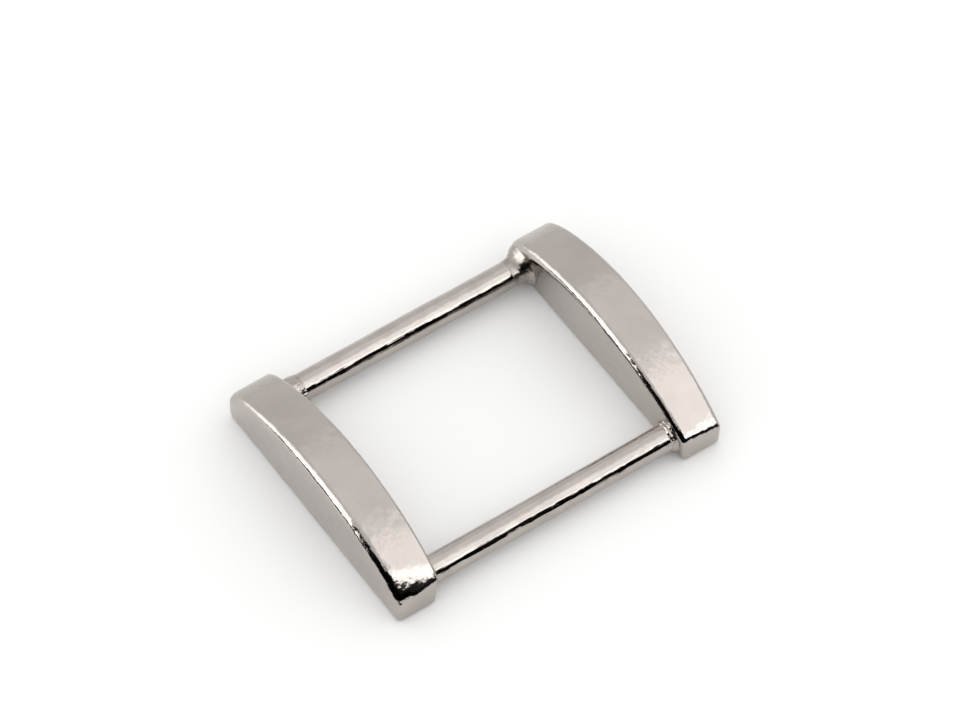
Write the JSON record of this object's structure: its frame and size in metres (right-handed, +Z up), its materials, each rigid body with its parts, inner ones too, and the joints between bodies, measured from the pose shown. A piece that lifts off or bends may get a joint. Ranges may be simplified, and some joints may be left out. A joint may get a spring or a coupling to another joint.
{
  "type": "strap slider",
  "caption": "Rigid rectangular strap slider: arched side rails joined by round wire bars that a strap wraps around, in polished nickel plate.",
  "frame": {"origin": "middle of the ring on the plane it rests on", "axes": "+X along the wire bars, from the left rail to the right rail; +Y along the rails, the way the strap runs; +Z up, out of the arched tops"},
  "size_m": [0.0332, 0.0254, 0.0068],
  "materials": {
    "rail_nickel": "polished nickel plate on cast metal, slightly wavy from hand polishing",
    "wire_nickel": "polished nickel plate on drawn wire, with fine lengthwise draw lines",
    "braze_nickel": "nickel plate over lumpy braze metal"
  },
  "bodies": {
    "root": {"left_rail": "rail_nickel", "right_rail": "rail_nickel", "front_bar": "wire_nickel", "rear_bar": "wire_nickel", "braze_front_left": "braze_nickel", "braze_front_right": "braze_nickel", "braze_rear_left": "braze_nickel", "braze_rear_right": "braze_nickel"}
  },
  "joints": []
}
